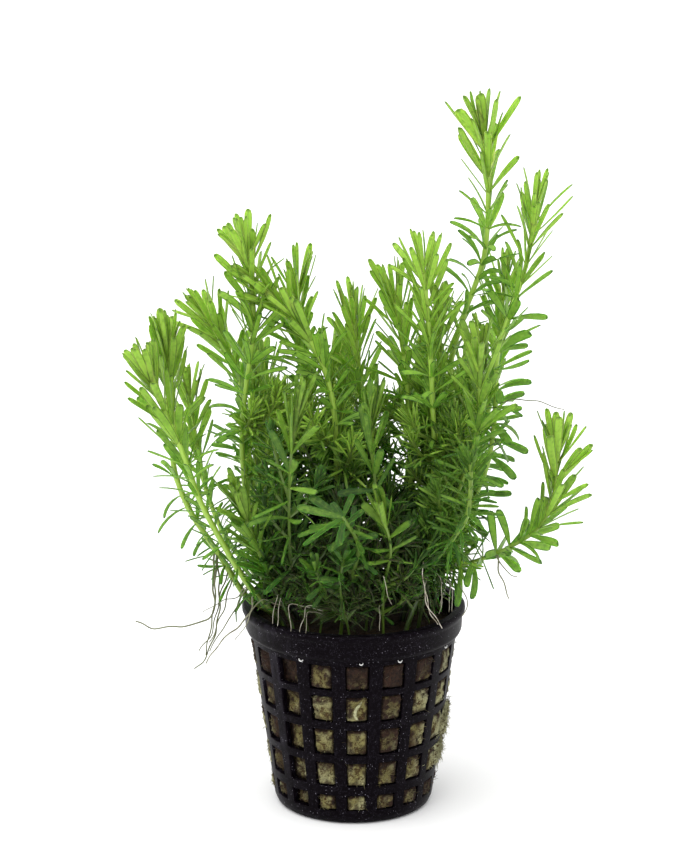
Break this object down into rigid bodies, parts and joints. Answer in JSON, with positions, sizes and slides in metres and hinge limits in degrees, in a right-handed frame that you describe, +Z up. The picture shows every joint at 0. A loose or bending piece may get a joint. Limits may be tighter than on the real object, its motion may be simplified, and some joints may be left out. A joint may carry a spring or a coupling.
{
  "type": "potted whorly rotala",
  "caption": "Bushy aquarium stem plant with whorls of narrow green leaves, rooted in rock wool in a small black lattice net pot that stands on its flat base.",
  "frame": {"origin": "centre of the pot's underside, on the surface that it stands on", "axes": "+Z up along the pot's axis, -Y towards the side that the picture shows, +X to its right"},
  "size_m": [0.1086, 0.0825, 0.1741],
  "materials": {
    "net_pot": "black moulded polypropylene, semi-matt, with a soft sheen and fine pale specks",
    "rock_wool": "wet brown and khaki mineral fibre, matted and rough, nearly black on top",
    "shoots": "fresh bright green leaf and stem, satin, with yellow-green stems and pale thread roots"
  },
  "bodies": {
    "root": {"net_pot": "net_pot", "rock_wool": "rock_wool", "shoot_right_tallest": "shoots", "shoot_right_second": "shoots", "shoot_right_leaning": "shoots", "shoot_right_middle": "shoots", "shoot_right_inner": "shoots", "shoot_centre_right_high": "shoots", "shoot_centre_right": "shoots", "shoot_centre": "shoots", "shoot_centre_slim": "shoots", "shoot_left_centre": "shoots", "shoot_left_slanting": "shoots", "shoot_left_high": "shoots", "shoot_left_leaning": "shoots", "shoot_far_left": "shoots", "shoot_far_left_low": "shoots", "shoot_far_left_back": "shoots", "shoot_front_left": "shoots", "shoot_front_centre": "shoots", "shoot_front_facing": "shoots", "shoot_front_short": "shoots", "shoot_front_low_left": "shoots", "shoot_front_low_right": "shoots", "shoot_right_arching": "shoots", "shoot_right_low": "shoots", "shoot_left_low": "shoots", "shoot_back_left": "shoots", "shoot_back_centre": "shoots", "shoot_back_right": "shoots", "shoot_back_far_right": "shoots"}
  },
  "joints": []
}
